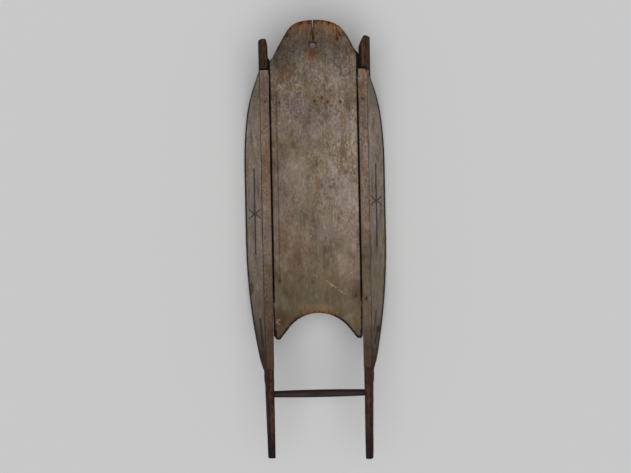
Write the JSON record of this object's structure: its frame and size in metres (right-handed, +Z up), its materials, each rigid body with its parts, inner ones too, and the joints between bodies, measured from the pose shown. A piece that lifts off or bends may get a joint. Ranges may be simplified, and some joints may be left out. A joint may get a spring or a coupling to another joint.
{
  "type": "coasting sled",
  "caption": "Plank-runner coasting sled: long deck with a scooped front between leaning side planks, iron-shod feet, front horns joined by a turned rung.",
  "frame": {"origin": "on the ground under the sled, midway along its length and midway between the runners", "axes": "+X to the rider's left, +Y to the rear (the sled travels along -Y), +Z up"},
  "size_m": [0.373, 1.125, 0.1488],
  "materials": {
    "deck_board": "worn paint on pine",
    "runner_planks": "worn paint on hardwood",
    "rails": "worn paint on hardwood",
    "crossbars": "bare aged hardwood",
    "rung_wood": "dark handled hardwood",
    "shoe_iron": "wrought strap, rusted and worn"
  },
  "bodies": {
    "root": {"deck": "deck_board", "runner_left": "runner_planks", "runner_right": "runner_planks", "rail_left": "rails", "rail_right": "rails", "crossbar_rear": "crossbars", "crossbar_front": "crossbars", "rung": "rung_wood", "shoe_left": "shoe_iron", "shoe_right": "shoe_iron"}
  },
  "joints": []
}
